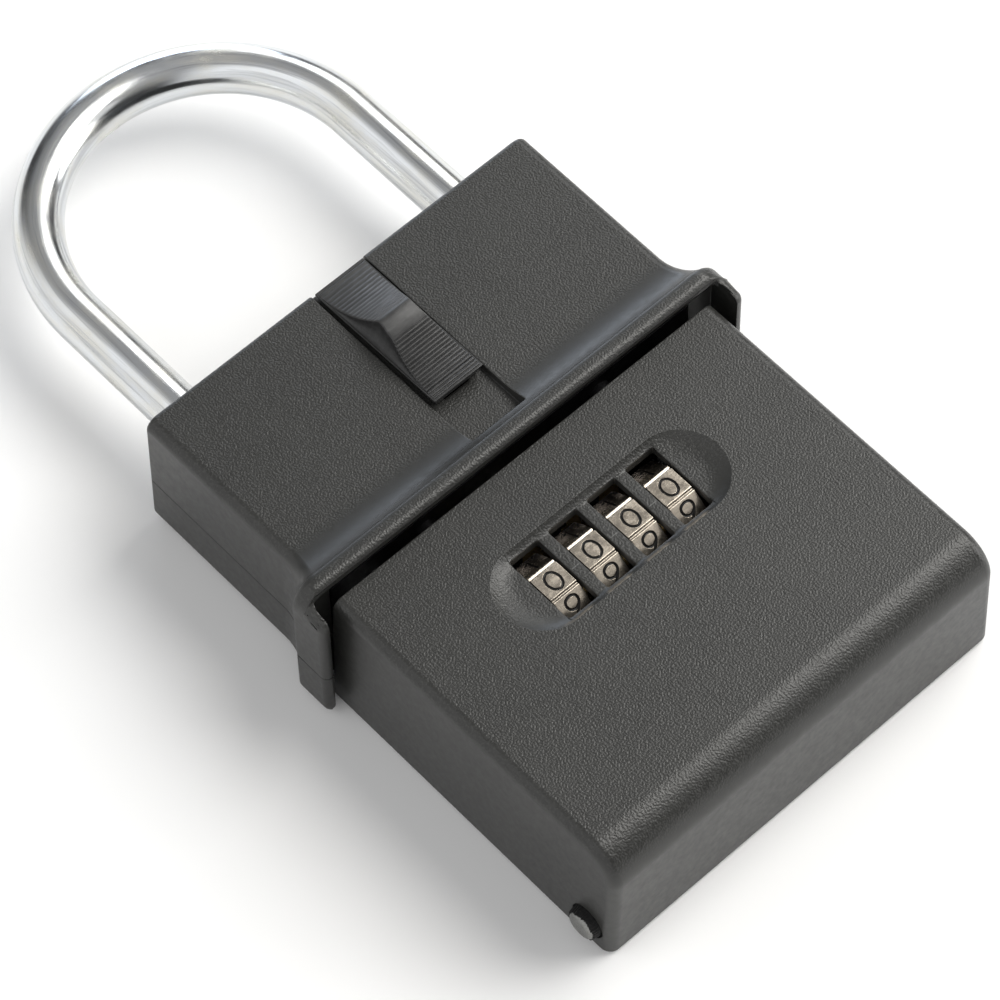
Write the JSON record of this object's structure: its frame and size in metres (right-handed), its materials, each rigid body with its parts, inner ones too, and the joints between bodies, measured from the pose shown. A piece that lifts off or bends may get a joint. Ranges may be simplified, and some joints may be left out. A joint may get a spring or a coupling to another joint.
{
  "type": "portable lock box",
  "caption": "Portable key lock box with a round bow shackle, a thumb slide on the housing and a hinged door with number dials.",
  "frame": {"origin": "centre of the back of the bounding box, on the plane of the flat back", "axes": "+Y towards the shackle's bow, +Z out of the front face with the dials, +X to the right seen from the front"},
  "size_m": [0.0824, 0.157, 0.0305],
  "materials": {
    "case_plastic": "fine spark-textured black moulding",
    "slide_plastic": "smooth satin black moulding with ribs",
    "shackle_steel": "bright zinc-plated polished rod",
    "rivet_steel": "dull zinc-plated rivet head",
    "dial_metal": "warm nickel-plated dial with dark cut digits",
    "hub_brass": "plain turned brass",
    "plate_steel": "stamped zinc-plated sheet",
    "zinc_casting": "matt grey die casting",
    "screw_steel": "zinc-plated cross-recessed screws",
    "spring_steel": "blued spring steel"
  },
  "bodies": {
    "case": {"rear_shell": "case_plastic", "front_shell": "case_plastic", "bulkhead": "plate_steel", "bulkhead_screws": "screw_steel", "housing_screws": "screw_steel", "toe_guide": "zinc_casting", "heel_guide": "zinc_casting", "detent_spring": "spring_steel", "hinge_pin": "rivet_steel"},
    "shackle": {"shackle": "shackle_steel", "heel_clip": "spring_steel"},
    "catch": {"shackle_catch": "plate_steel"},
    "slide": {"thumb_slide": "slide_plastic", "bolt_carrier": "zinc_casting", "carrier_screws": "screw_steel"},
    "door": {"door_shell": "case_plastic", "mechanism_cover": "plate_steel", "cover_screws": "screw_steel", "click_spring": "spring_steel", "wheel_axle": "screw_steel"},
    "comb": {"locking_comb": "hub_brass"},
    "lever": {"code_lever": "hub_brass"},
    "dial_1": {"dial_wheel_1": "dial_metal", "code_hub_1": "hub_brass"},
    "dial_2": {"dial_wheel_2": "dial_metal", "code_hub_2": "hub_brass"},
    "dial_3": {"dial_wheel_3": "dial_metal", "code_hub_3": "hub_brass"},
    "dial_4": {"dial_wheel_4": "dial_metal", "code_hub_4": "hub_brass"}
  },
  "joints": [
    {"name": "door_hinge", "type": "hinge", "parent": "case", "child": "door", "pos_m": [0, -0.0737, 0.0044], "axis": [1, 0, 0], "range_deg": [0, 110]},
    {"name": "shackle_lift", "type": "slide", "parent": "case", "child": "shackle", "axis": [0, 1, 0], "range_m": [0, 0.0146]},
    {"name": "catch_slide", "type": "slide", "parent": "case", "child": "catch", "axis": [-1, 0, 0], "range_m": [0, 0.0022]},
    {"name": "thumb_slide", "type": "slide", "parent": "case", "child": "slide", "axis": [0, -1, 0], "range_m": [0, 0.0075]},
    {"name": "comb_slide", "type": "slide", "parent": "door", "child": "comb", "axis": [0, -1, 0], "range_m": [0, 0.0075]},
    {"name": "code_lever", "type": "hinge", "parent": "door", "child": "lever", "pos_m": [0.01, -0.0469, 0.0052], "axis": [0, 0, 1], "range_deg": [0, 90]},
    {"name": "dial_1", "type": "hinge", "parent": "door", "child": "dial_1", "pos_m": [-0.01125, -0.0385, 0.01599], "axis": [1, 0, 0], "continuous": true},
    {"name": "dial_2", "type": "hinge", "parent": "door", "child": "dial_2", "pos_m": [-0.00375, -0.0385, 0.01599], "axis": [1, 0, 0], "continuous": true},
    {"name": "dial_3", "type": "hinge", "parent": "door", "child": "dial_3", "pos_m": [0.00375, -0.0385, 0.01599], "axis": [1, 0, 0], "continuous": true},
    {"name": "dial_4", "type": "hinge", "parent": "door", "child": "dial_4", "pos_m": [0.01125, -0.0385, 0.01599], "axis": [1, 0, 0], "continuous": true}
  ],
  "couplings": [
    {"joint": "comb_slide", "follows": "thumb_slide", "ratio": 1}
  ]
}
